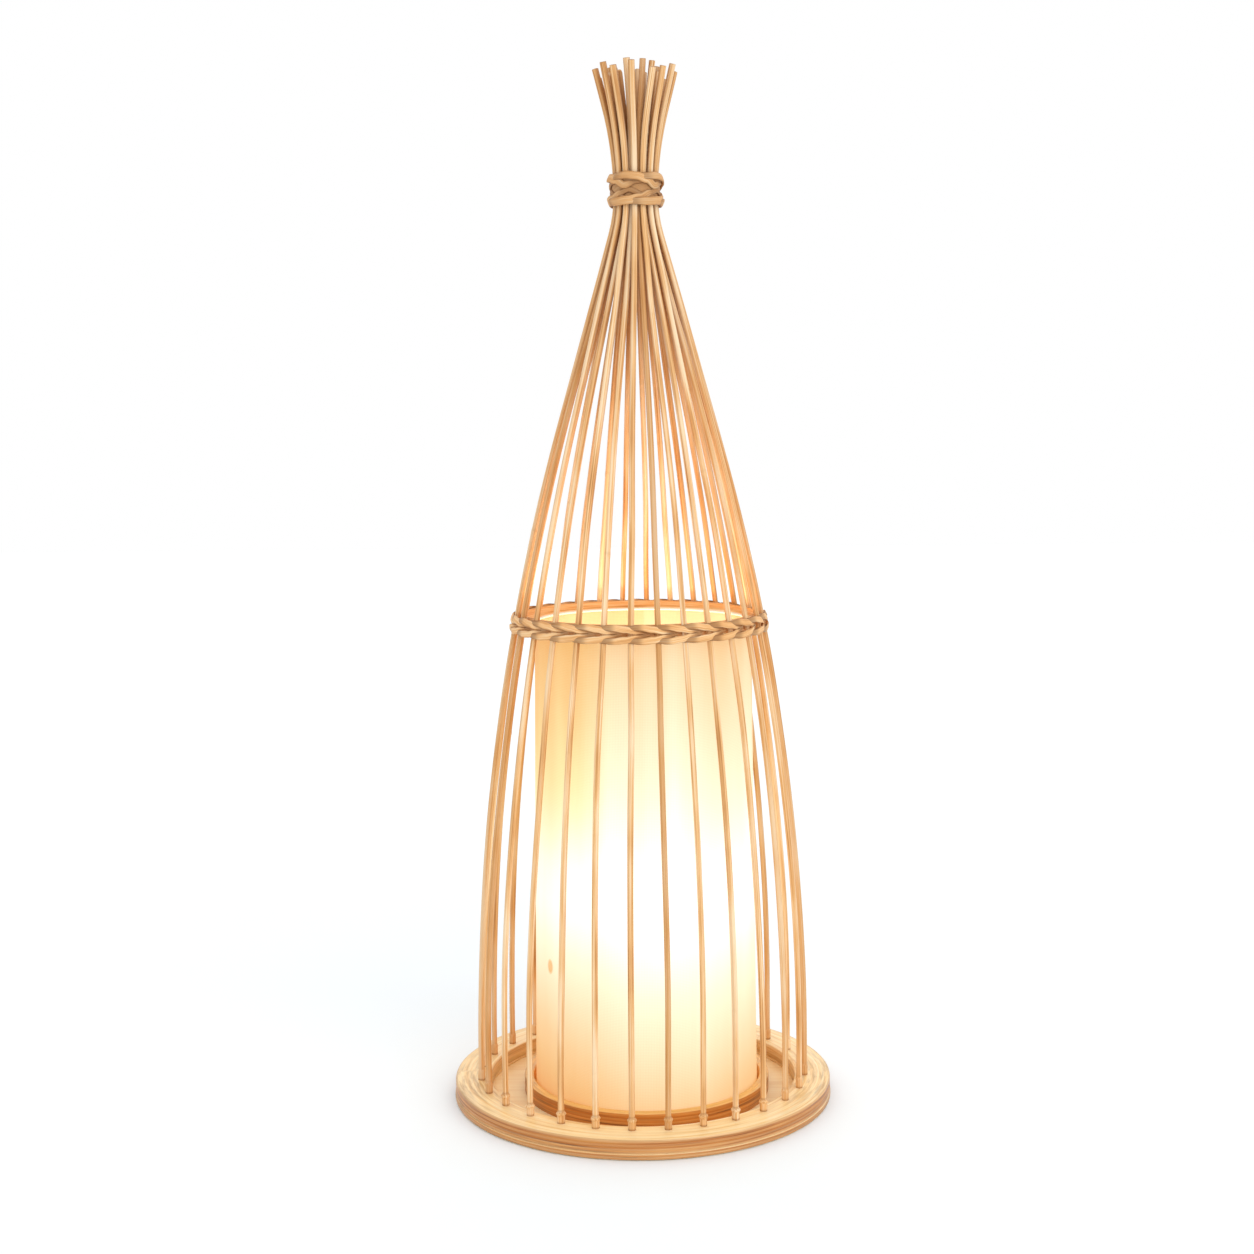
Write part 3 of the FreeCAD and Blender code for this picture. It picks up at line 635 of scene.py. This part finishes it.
def make_cane(number, dice):
    """A peeled bamboo rod: knuckle at its foot, faint joints, cut tip."""
    angle = bearing(number)
    tip = TIP_RISE + TIP_SPREAD * math.sin(TIP_STEP * number) - TIP_DROP * math.sin(angle) ** 2
    joints = [dice.uniform(0.08, 0.30), dice.uniform(0.40, 0.62)]
    swell = [max(0.0, dice.uniform(-0.25, 0.22)) * MM for _ in joints]
    front = math.cos(angle + 0.1)
    lip = (0.25 + 0.75 * ease(front, 0.35, 0.75)) * dice.uniform(0.85, 1.0)
    thick = dice.uniform(0.97, 1.05)
    tone = 0.6 * dice.random() ** 1.8
    stout = dice.uniform(0.04, 0.20)
    seam = dice.uniform(0, 2 * math.pi)
    # Inner canes get extra painted shade where the canes crowd.
    inner_cane_shade = 0.16 if number % 2 else 0.0
    heights = cane_heights(joints, tip)
    side = sideways(angle)
    vertices = []
    grain = []
    mark = []
    for index, rise in enumerate(heights):
        centre = cane_point(number, rise)
        after = cane_point(number, rise + 0.5 * MM)
        tangent = (after - centre).normalized()
        out = side.cross(tangent).normalized()
        across = tangent.cross(out)
        plain = CANE_RADIUS * thick * (1.0 + stout * ease(rise, WAIST_RISE - 0.03, tip - 0.03))
        radius, shade = cane_section(rise, plain, lip, joints, swell)
        if index == len(heights) - 1:
            radius *= 0.80
            shade = 0.75
        elif index == len(heights) - 2:
            radius *= 0.97
            shade = 0.5
        # Painted shade where the canes crowd at the waist and in the fan.
        crowded_shade = ease(rise, 0.50, 0.66) * (1.0 - 0.5 * ease(rise, tip - 0.05, tip))
        for corner in range(CANE_SIDES):
            turn = 2 * math.pi * corner / CANE_SIDES
            # Most of that painted shade falls on the cane's inward-facing side.
            inward_shade = 1.0 - ease(math.sin(turn), -0.4, 0.6)
            # A thin brown stripe down each cane, plus the painted shade where they crowd.
            stripe_and_painted_shade = 0.22 * max(0.0, math.cos(turn - seam)) ** 14
            stripe_and_painted_shade += crowded_shade * (0.75 * inward_shade + inner_cane_shade)
            lump = 1.0 + 0.035 * math.cos(2 * turn + number)
            lump += 0.02 * math.cos(3 * turn + 2 * number)
            if rise < 11 * MM:
                place = Vector((math.cos(turn) * 1.6, math.sin(turn) * 1.6, number * 3.1))
                lump += 0.07 * noise.noise(place) * lip
            step = across * math.cos(turn) + out * math.sin(turn)
            vertices.append(centre + step * radius * lump)
            grain.append((math.cos(turn) * radius + number * 0.37, math.sin(turn) * radius, rise))
            mark.append(min(1.0, shade + stripe_and_painted_shade))
    faces = ring_faces(len(heights), CANE_SIDES, False)
    last = (len(heights) - 1) * CANE_SIDES
    faces.append(tuple(range(CANE_SIDES - 1, -1, -1)))
    faces.append(tuple(last + k for k in range(CANE_SIDES)))
    tones = [tone] * len(vertices)
    name = "cane_%02d" % (number + 1)
    piece = new_piece(
        name + "_rod", vertices, faces, CANE, "cage", grain=grain, mark=mark, tone=tones)
    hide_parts(name)


# ---------------------------------------------------------------- weaving


def strip(name, path, half_thickness, count, tone, replaced=()):
    """A flat strip swept round a closed path, with soft edges. tone darkens it all over; on the
    neck binding this is painted shade.

    path gives the centre, the outward normal, the half width and the darkening at a share of the
    way.
    """
    sides = 12
    steps = [path(k / count) for k in range(count)]
    vertices = []
    grain = []
    mark = []
    length = 0.0
    for k, (here, facing, half, stain) in enumerate(steps):
        before = steps[k - 1][0]
        after = steps[(k + 1) % count][0]
        length += (here - before).length if k else 0.0
        tangent = (after - before).normalized()
        normal = (facing - tangent * facing.dot(tangent)).normalized()
        across = tangent.cross(normal)
        for corner in range(sides):
            turn = 2 * math.pi * (corner + 0.5) / sides
            flat = math.copysign(abs(math.cos(turn)) ** 0.7, math.cos(turn))
            thin = math.copysign(abs(math.sin(turn)) ** 0.9, math.sin(turn))
            vertices.append(here + across * half * flat + normal * half_thickness * thin)
            grain.append((half * flat, half_thickness * thin, length))
            # Darker by the path's value, with painted shade towards the strip's edges.
            mark.append(min(1.0, stain + 0.5 * abs(flat) ** 10))
    faces = ring_faces(count, sides, True)
    tones = [tone] * len(vertices)
    piece = new_piece(name, vertices, faces, WEAVE, "cage", grain=grain, mark=mark, tone=tones)
    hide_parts(*replaced)


# A strip of the middle weave goes three times round, and its stroke repeats every three canes.
# Keys are (canes along the stroke, millimetres): how far out from the canes' centres the strip
# lies, how far above or below the weave's middle, and half its width. The last table, 0 to 1,
# is painted shade where the strip goes in behind a cane or comes out from behind one.
# A row is 1 for the upper one and -1 for the lower one.
TURNS = 3
MID_OUT = [
    (0.0, 2.95), (0.5, 3.6), (1.0, 3.5), (1.5, 0.7), (2.0, -2.95), (2.5, -0.8), (3.0, 2.95),
]
MID_RISE = {
    1: [
        (0.0, 4.7), (0.4, 4.9), (0.8, 3.7), (1.2, 2.0),
        (1.6, 0.9), (2.1, 2.4), (2.7, 4.4), (3.0, 4.7),
    ],
    -1: [
        (0.0, 4.7), (0.4, 4.9), (0.8, 4.0), (1.2, 2.4),
        (1.7, 0.5), (2.1, 1.8), (2.7, 4.2), (3.0, 4.7),
    ],
}
MID_HALF = [
    (0.0, 1.9), (0.3, 2.45), (0.7, 2.75), (1.1, 2.35),
    (1.5, 1.5), (2.0, 2.1), (2.6, 1.7), (3.0, 1.9),
]
# Painted shade where the strip goes in behind a cane and comes out again.
MID_PAINTED_SHADE = [
    (0.0, 0.62), (0.25, 0.5), (0.5, 0.0), (1.15, 0.0),
    (1.5, 0.5), (1.8, 0.0), (2.3, 0.0), (2.6, 0.5), (3.0, 0.62),
]

# Half the thickness of each kind of strip
MID_THICK = 0.7 * MM
BAND_THICK = 0.35 * MM
NECK_THICK = 0.95 * MM
CORE_THICK = 0.5 * MM

CAGE_LEAN = 0.19                # how far the cage's slope turns the middle weave upwards
ROW_LEAN = 0.28                 # how far a row turns away from the other row
MID_STEPS = 12                  # points along a strip for each cane that it passes
BAND_STEPS = 240
BAND_RISE = 2.2 * MM
BAND_INSET = 4.15 * MM
BAND_HALF = 4.5 * MM


def make_mid_weave(name, row, replaced):
    """One row: a strip that passes outside two canes and inside the third, three times round."""

    def path(t):
        at = t * TURNS * CANES
        ripple = 0.3 * noise.noise(Vector((at * 1.3, row * 5.0, 0)))
        rise = WEAVE_RISE + row * (cycle(MID_RISE[row], at) + ripple) * MM
        radius = cane_radius_at(rise) + cycle(MID_OUT, at) * MM
        centre = outward(bearing(at)) * radius + UP * (BASE_TOP + rise)
        facing = outward(bearing(at)) + UP * (CAGE_LEAN + row * ROW_LEAN)
        half = (cycle(MID_HALF, at) + 0.12 * noise.noise(Vector((at * 0.9, 3.0, row)))) * MM
        # Painted shade where the strip goes behind a cane, plus a browner tone on some strokes at
        # random.
        stain = cycle(MID_PAINTED_SHADE, at) + 0.3 * max(0.0, noise.noise(Vector((at // 3, 11.0, row))))
        return centre, facing, half, stain

    strip(name, path, MID_THICK, TURNS * CANES * MID_STEPS, 0.0, replaced)


def make_inside_band():
    """A plain strip that runs round inside the canes, behind the upper row."""

    def path(t):
        angle = 2 * math.pi * t
        rise = WEAVE_RISE + BAND_RISE + 0.25 * noise.noise(outward(angle) * 4) * MM
        radius = cane_radius_at(rise) - BAND_INSET
        centre = outward(angle) * radius + UP * (BASE_TOP + rise)
        return centre, outward(angle) + UP * CAGE_LEAN, BAND_HALF, 0.0

    strip("mid_weave_inside_band", path, BAND_THICK, BAND_STEPS, 0.0, ["mid_weave_inside"])


# A strip of the binding at the waist makes five strokes in its three turns. Keys are
# (fifths of a turn along the stroke, millimetres), and out is measured from the axis.
NECK_STROKES = 5
NECK_STEPS = 40                 # points along a strip for each fifth of a turn
CORE_STEPS = 30
CORE_RADIUS = 18.0              # of the brown strips under the binding, in millimetres
CORE_LIFT = 4.4
NECK_MIDDLE = (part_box("neck_weave_lower")[0].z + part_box("neck_weave_upper")[1].z) / 2
NECK_OUT = [
    (0.0, 20.2), (0.5, 20.9), (1.0, 20.4), (1.35, 19.6),
    (1.7, 18.8), (2.2, 18.6), (2.7, 19.4), (3.0, 20.2),
]
NECK_RISE = {
    1: [
        (0.0, 9.4), (0.35, 9.9), (0.7, 9.0), (1.0, 6.9),
        (1.3, 2.6), (1.7, 5.6), (2.2, 7.4), (3.0, 9.4),
    ],
    -1: [
        (0.0, 9.2), (0.4, 9.4), (0.8, 8.6), (1.15, 6.9),
        (1.5, 3.2), (1.8, 0.8), (2.3, 5.4), (3.0, 9.2),
    ],
}
NECK_HALF = [
    (0.0, 2.9), (0.4, 3.4), (0.9, 3.4), (1.3, 2.8), (1.7, 2.2), (2.4, 2.6), (3.0, 2.9),
]
# Painted shade where the strip dips in under the other row.
NECK_PAINTED_SHADE = [
    (0.0, 0.45), (0.3, 0.1), (0.9, 0.0), (1.35, 0.15), (1.6, 0.5), (2.5, 0.55), (3.0, 0.45),
]


def make_neck_weave(name, row, first, replaced):
    """One row of the plaited binding at the waist. first is the bearing of a stroke's start."""

    def path(t):
        at = t * TURNS * NECK_STROKES
        angle = math.radians(first) + at * 2 * math.pi / NECK_STROKES
        lift = cycle(NECK_RISE[row], at) + 0.3 * noise.noise(Vector((at * 1.1, 7.0, row)))
        radius = cycle(NECK_OUT, at) - 0.05 * max(0.0, lift - 7.5) ** 2
        centre = outward(angle) * radius * MM + UP * (NECK_MIDDLE + row * lift * MM)
        facing = outward(angle) + UP * row * 0.08 * (lift - 4.0)
        return centre, facing, cycle(NECK_HALF, at) * MM, cycle(NECK_PAINTED_SHADE, at)

    # The binding is darkened all over as painted shade, as the waist gets less light.
    strip(name, path, NECK_THICK, TURNS * NECK_STROKES * NECK_STEPS, 0.3, replaced)


def make_neck_core(name, side):
    """A brown strip that crosses up and down under the binding. side is the way that it starts."""

    def path(t):
        at = t * TURNS * NECK_STROKES
        angle = at * 2 * math.pi / NECK_STROKES
        lift = CORE_LIFT * side * math.sin(2 * math.pi * (at + 0.4) / TURNS)
        centre = outward(angle) * CORE_RADIUS * MM + UP * (NECK_MIDDLE + lift * MM)
        return centre, outward(angle), 2.8 * MM, 0.25

    strip(name, path, CORE_THICK, TURNS * NECK_STROKES * CORE_STEPS, 0.5)


# ---------------------------------------------------------------- base and hoop


def stepped_edge(start, end, count, groove, inward):
    """Points along an edge made of laminations, with a shallow groove between each two."""
    points = []
    for k in range(count):
        for share, depth in ((0.0, groove), (0.14, 0.0), (0.86, 0.0)):
            if k == 0 and share == 0.0:
                continue
            t = (k + share) / count
            points.append((
                start[0] + (end[0] - start[0]) * t + inward[0] * depth,
                start[1] + (end[1] - start[1]) * t + inward[1] * depth,
            ))
    return points


def make_ring():
    """The wound upper ring of the base."""
    low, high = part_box("base_ring")
    outer = high.x
    bottom = low.z + 0.05 * MM
    top = high.z
    edge = 0.9 * MM
    small = 0.3 * edge
    profile = [
        (BASE_BORE, bottom),
        (BASE_BORE, top - edge),
        (BASE_BORE + small, top - small),
    ]
    profile += stepped_edge((BASE_BORE + edge, top), (outer - edge, top), 7, 0.08 * MM, (0, -1))
    profile += [(outer - small, top - small)]
    profile += stepped_edge(
        (outer, top - edge), (outer, low.z + 0.4 * MM), 4, 0.28 * MM, (-1, 0))
    profile += [(outer - 0.5 * MM, bottom)]
    ring = lathe("wound_ring", profile, 360, 0.0, BASE, "cage", 0.12 * MM)
    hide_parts("base_ring")


def make_rim():
    """The lower rim of the base, with the rebate for the floor board and a groove round it."""
    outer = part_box("base_rim")[1].x
    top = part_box("base_rim")[1].z
    curve = RIM_ROUNDING
    profile = [
        (REBATE_RADIUS, 0.0),
        (REBATE_RADIUS, REBATE_DEPTH),
        (BASE_BORE, REBATE_DEPTH),
        (BASE_BORE, top - 0.02 * MM),
        (outer - 0.5 * MM, top - 0.02 * MM),
        (outer - 0.1 * MM, top - 0.4 * MM),
        (outer, top - 0.9 * MM),
        (outer, curve + 1.2 * MM),
        (outer - 0.12 * MM, curve + 1.0 * MM),
        (outer, curve + 0.8 * MM),
    ]
    for k in range(5):
        turn = k / 4 * math.pi / 2
        profile.append((outer - curve + curve * math.cos(turn), curve - curve * math.sin(turn)))
    rim = lathe("wound_rim", profile, 360, 0.0, BASE, "cage", 0.10 * MM)
    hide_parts("base_rim")


def make_hoop():
    """The laminated hoop round the shade's foot."""
    low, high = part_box("shade_hoop")
    outer = (high.x - low.x) / 2
    inner = outer - HOOP_WALL
    top = high.z
    edge = 0.6 * MM
    profile = [(inner, low.z), (inner, top - edge), (inner + edge, top)]
    profile += stepped_edge((inner + 1.5 * edge, top), (outer - edge, top), 3, 0.12 * MM, (0, -1))
    profile += [(outer - 0.3 * edge, top - 0.3 * edge), (outer, top - edge)]
    profile += stepped_edge((outer, top - 1.5 * edge), (outer, low.z), 4, 0.05 * MM, (-1, 0))
    profile += [(outer - 0.1 * MM, low.z)]
    hoop = lathe("laminated_hoop", profile, 300, LIGHT_X, HOOP, "light_unit", 0.08 * MM)
    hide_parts("shade_hoop")


# ---------------------------------------------------------------- shade


def fold_at(angle, height):
    """Depth of the cloth's soft upright folds, in millimetres: none low down."""
    strength = ease(height, 0.12, 0.30)
    around = Vector((math.cos(angle), math.sin(angle), 0))
    broad = noise.noise(around * 2.6 + Vector((0, 0, 1.5 + height * 1.1)))
    narrow = noise.noise(around * 6.5 + Vector((0, 0, 8.0 + height * 0.9)))
    return strength * (0.9 * broad + 0.6 * narrow)


def glow_at(angle, height):
    """How strongly the bulb shows through the cloth: about 1 by the bulb and 0 far from it."""
    degrees = (math.degrees(angle) + 180) % 360 - 180
    away = height - GLOW_HEIGHT
    if away > 0:
        level = 1.12 - 3.7 * math.hypot(away, 0.030)
    else:
        level = 1.12 - 5.05 * math.hypot(away, 0.021)
    # Far from the bulb's height the left side is darker, and the right side a little.
    far = 1.0 - 0.7 * hill(away, 0.0, 0.085)
    level -= 0.13 * (1.0 - math.cos(angle - 0.12))
    level -= 0.21 * far * ease(-degrees, 0, 42)
    level -= 0.06 * far * ease(degrees, 25, 60)
    # The back's upper edge is bright, where the inside shows over the front.
    level += 0.34 * ease(abs(degrees), 105, 140) * ease(height, 0.30, 0.36)
    # An orange fold and a pale one beside it, high on the left.
    level -= 0.16 * hill(degrees, -38, 7) * hill(height, 0.325, 0.045)
    level += 0.07 * hill(degrees, -50, 5) * ease(height, 0.24, 0.32)
    return level + 0.17 * fold_at(angle, height)


def make_shade():
    """The fabric cylinder: a thin closed sheet with soft folds in its upper half."""
    low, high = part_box("shade")
    foot = (high.x - low.x) / 2
    top = foot - SHADE_TAPER
    turns = 300
    rows = 90
    vertices = []
    glow = []
    grain = []
    warm = []
    for side in (0, 1):
        for row in range(rows + 1):
            height = low.z + (high.z - low.z) * row / rows
            mean = foot + (top - foot) * row / rows - 0.3 * MM
            for step in range(turns):
                angle = 2 * math.pi * step / turns - math.pi
                fold = min(0.25, fold_at(angle, height) - 0.4) * MM
                radius = mean + fold - side * SHADE_WALL
                spot = outward(angle) * radius
                vertices.append((spot.x + LIGHT_X, spot.y, height))
                glow.append(min(1.0, max(0.0, glow_at(angle, height) - 0.14 * side)))
                yellow = ease(-math.degrees(angle), 10, 40) * ease(height, 0.19, 0.27)
                warm.append(yellow * (1 - side))
                grain.append((angle * mean, side * SHADE_WALL, height))
    outside = ring_faces(rows + 1, turns, False)
    count = (rows + 1) * turns
    inside = [tuple(count + v for v in reversed(face)) for face in outside]
    rims = []
    last = rows * turns
    for step in range(turns):
        nxt = (step + 1) % turns
        rims.append((count + step, count + nxt, nxt, step))
        rims.append((last + step, last + nxt, count + last + nxt, count + last + step))
    faces = outside + inside + rims
    shade = new_piece(
        "shade_cloth", vertices, faces, SHADE, "light_unit", glow=glow, grain=grain, warm=warm)
    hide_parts("shade")


# ---------------------------------------------------------------- studio


CAMERA_LENS = 55.38
CAMERA_SHIFT = -0.0098
CAMERA_DISTANCE = 1.5046
CAMERA_RISE = 0.5309
CAMERA_DIP = 6.5                # degrees below level
CAMERA_ROLL = -0.0081


def make_camera():
    """The photograph's view: between the two weaves, tipped a little down and rolled a hair."""
    data = bpy.data.cameras.new("camera")
    data.sensor_width = 36.0
    data.lens = CAMERA_LENS
    data.shift_x = CAMERA_SHIFT
    data.clip_end = 50.0
    camera = bpy.data.objects.new("camera", data)
    bpy.context.scene.collection.objects.link(camera)
    camera.location = (0, -CAMERA_DISTANCE, CAMERA_RISE + BASE_TOP)
    camera.rotation_euler = (math.radians(90 - CAMERA_DIP), 0, 0)
    camera.rotation_mode = "XYZ"
    camera.rotation_euler.rotate_axis("Z", CAMERA_ROLL)
    bpy.context.scene.camera = camera


def soft_sun(name, power, spread, tilt, turn):
    """A distant soft light, with its angles in degrees.

    tilt is measured from straight above towards the front, and turn from the front to the right.
    """
    data = bpy.data.lights.new(name, "SUN")
    data.energy = power
    data.angle = math.radians(spread)
    lamp = bpy.data.objects.new(name, data)
    bpy.context.scene.collection.objects.link(lamp)
    lamp.rotation_euler = (math.radians(tilt), 0, math.radians(turn))


def make_world():
    """Even white light all round, a little weaker than the white that the camera sees."""
    world = bpy.data.worlds.new("studio")
    bpy.context.scene.world = world
    world.use_nodes = True
    nodes = world.node_tree.nodes
    sky = nodes["Background"]
    sky.inputs["Color"].default_value = (1, 1, 1, 1)
    seen = nodes.new("ShaderNodeLightPath")
    level = nodes.new("ShaderNodeMapRange")
    level.inputs["To Min"].default_value = 0.84
    level.inputs["To Max"].default_value = 1.0
    world.node_tree.links.new(seen.outputs["Is Camera Ray"], level.inputs["Value"])
    world.node_tree.links.new(level.outputs["Result"], sky.inputs["Strength"])


def make_bulb_light():
    """The lamp's own light, a little above the bulb's glass. It lights the cage from inside."""
    bulb = bpy.data.lights.new("bulb_light", "POINT")
    bulb.energy = 1.7
    bulb.color = (1.0, 0.84, 0.74)
    bulb.shadow_soft_size = 0.02
    lamp = bpy.data.objects.new("bulb_light", bulb)
    bpy.context.scene.collection.objects.link(lamp)
    lamp.location = (LIGHT_X, 0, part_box("bulb_glass")[1].z + 0.035)


def make_floor():
    """A wide white floor, just under the base."""
    half = 6.0
    corners = [(-half, -half, 0), (half, -half, 0), (half, half, 0), (-half, half, 0)]
    mesh = bpy.data.meshes.new("floor")
    mesh.from_pydata(corners, [], [(0, 1, 2, 3)])
    floor = bpy.data.objects.new("floor", mesh)
    bpy.context.scene.collection.objects.link(floor)
    paint = Paint("studio_floor", Roughness=0.9, Specular_IOR_Level=0.0)
    place = paint.node("ShaderNodeNewGeometry").outputs["Position"]
    paint.colour(paint.ramp(paint.noise(place, 2.0), [
        (0.3, (0.90, 0.945, 0.985)),
        (0.7, (0.915, 0.96, 0.99)),
    ]))
    mesh.materials.append(paint.material)
    floor.location.z = -0.5 * MM


def make_studio():
    """A white floor, even light all round, two soft suns and the lamp's own bulb."""
    make_world()
    soft_sun("top_light", power=0.6, spread=70, tilt=-35, turn=0)
    soft_sun("key_light", power=0.8, spread=60, tilt=60, turn=30)
    make_bulb_light()
    make_floor()
    bpy.context.scene.view_settings.view_transform = "Standard"


# ---------------------------------------------------------------- build

make_camera()
make_studio()
paint_nodes()
dice = random.Random(28)
for number in range(CANES):
    make_cane(number, dice)
make_mid_weave("mid_weave_top_row", 1, ["mid_weave_upper"])
make_mid_weave("mid_weave_low_row", -1, ["mid_weave_lower"])
make_inside_band()
make_neck_weave("neck_weave_top_row", 1, -48, ["neck_weave_upper"])
make_neck_weave("neck_weave_low_row", -1, -74, ["neck_weave_lower"])
make_neck_core("neck_weave_core_rising", 1)
make_neck_core("neck_weave_core_falling", -1)
make_ring()
make_rim()
make_hoop()
make_shade()
